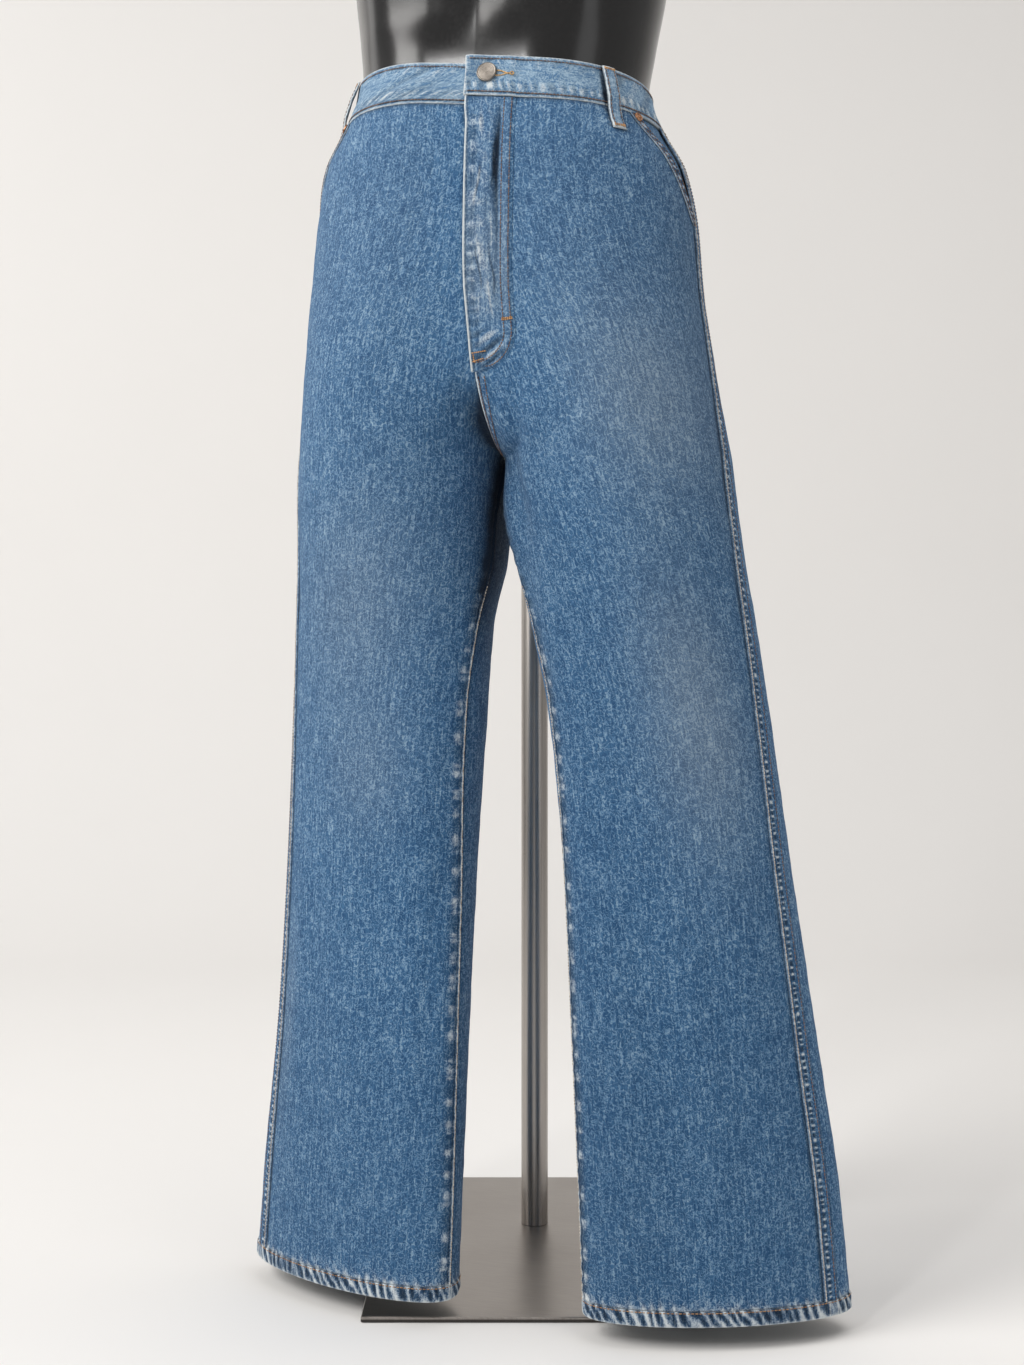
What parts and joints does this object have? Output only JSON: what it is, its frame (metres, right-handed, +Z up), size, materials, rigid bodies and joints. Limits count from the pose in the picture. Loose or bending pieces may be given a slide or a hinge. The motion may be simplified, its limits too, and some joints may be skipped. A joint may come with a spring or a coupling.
{
  "type": "relaxed-fit jeans on a limbless trouser form and stand",
  "caption": "Relaxed-fit wide-leg denim jeans with a slash-pocket waist, hung open and filled out on a glossy limbless form with a steel pole and base plate.",
  "frame": {"origin": "on the underside of the base plate, on the floor straight below the middle of the waist", "axes": "+Z up, -Y out of the front of the jeans, +X towards the wearer's left"},
  "size_m": [0.5528, 0.5607, 1.2405],
  "materials": {
    "denim": "stonewashed twill",
    "button_metal": "aged",
    "rivet_copper": "aged",
    "form_black": "gloss",
    "steel": "brushed"
  },
  "bodies": {
    "root": {"front_left": "denim", "front_right": "denim", "back_left": "denim", "back_right": "denim", "yoke_left": "denim", "yoke_right": "denim", "waistband": "denim", "fly_placket": "denim", "hem_left": "denim", "hem_right": "denim", "outseam_left": "denim", "outseam_right": "denim", "pocket_facing_left": "denim", "pocket_facing_right": "denim", "pocket_edge_left": "denim", "pocket_edge_right": "denim", "back_pocket_left": "denim", "back_pocket_right": "denim", "belt_loop_front_left": "denim", "belt_loop_front_right": "denim", "belt_loop_back_left": "denim", "belt_loop_back_right": "denim", "belt_loop_centre_back": "denim", "button": "button_metal", "rivet_left": "rivet_copper", "rivet_right": "rivet_copper", "dress_form": "form_black", "stand_pole": "steel", "stand_arm": "steel", "base_plate": "steel"}
  },
  "joints": []
}
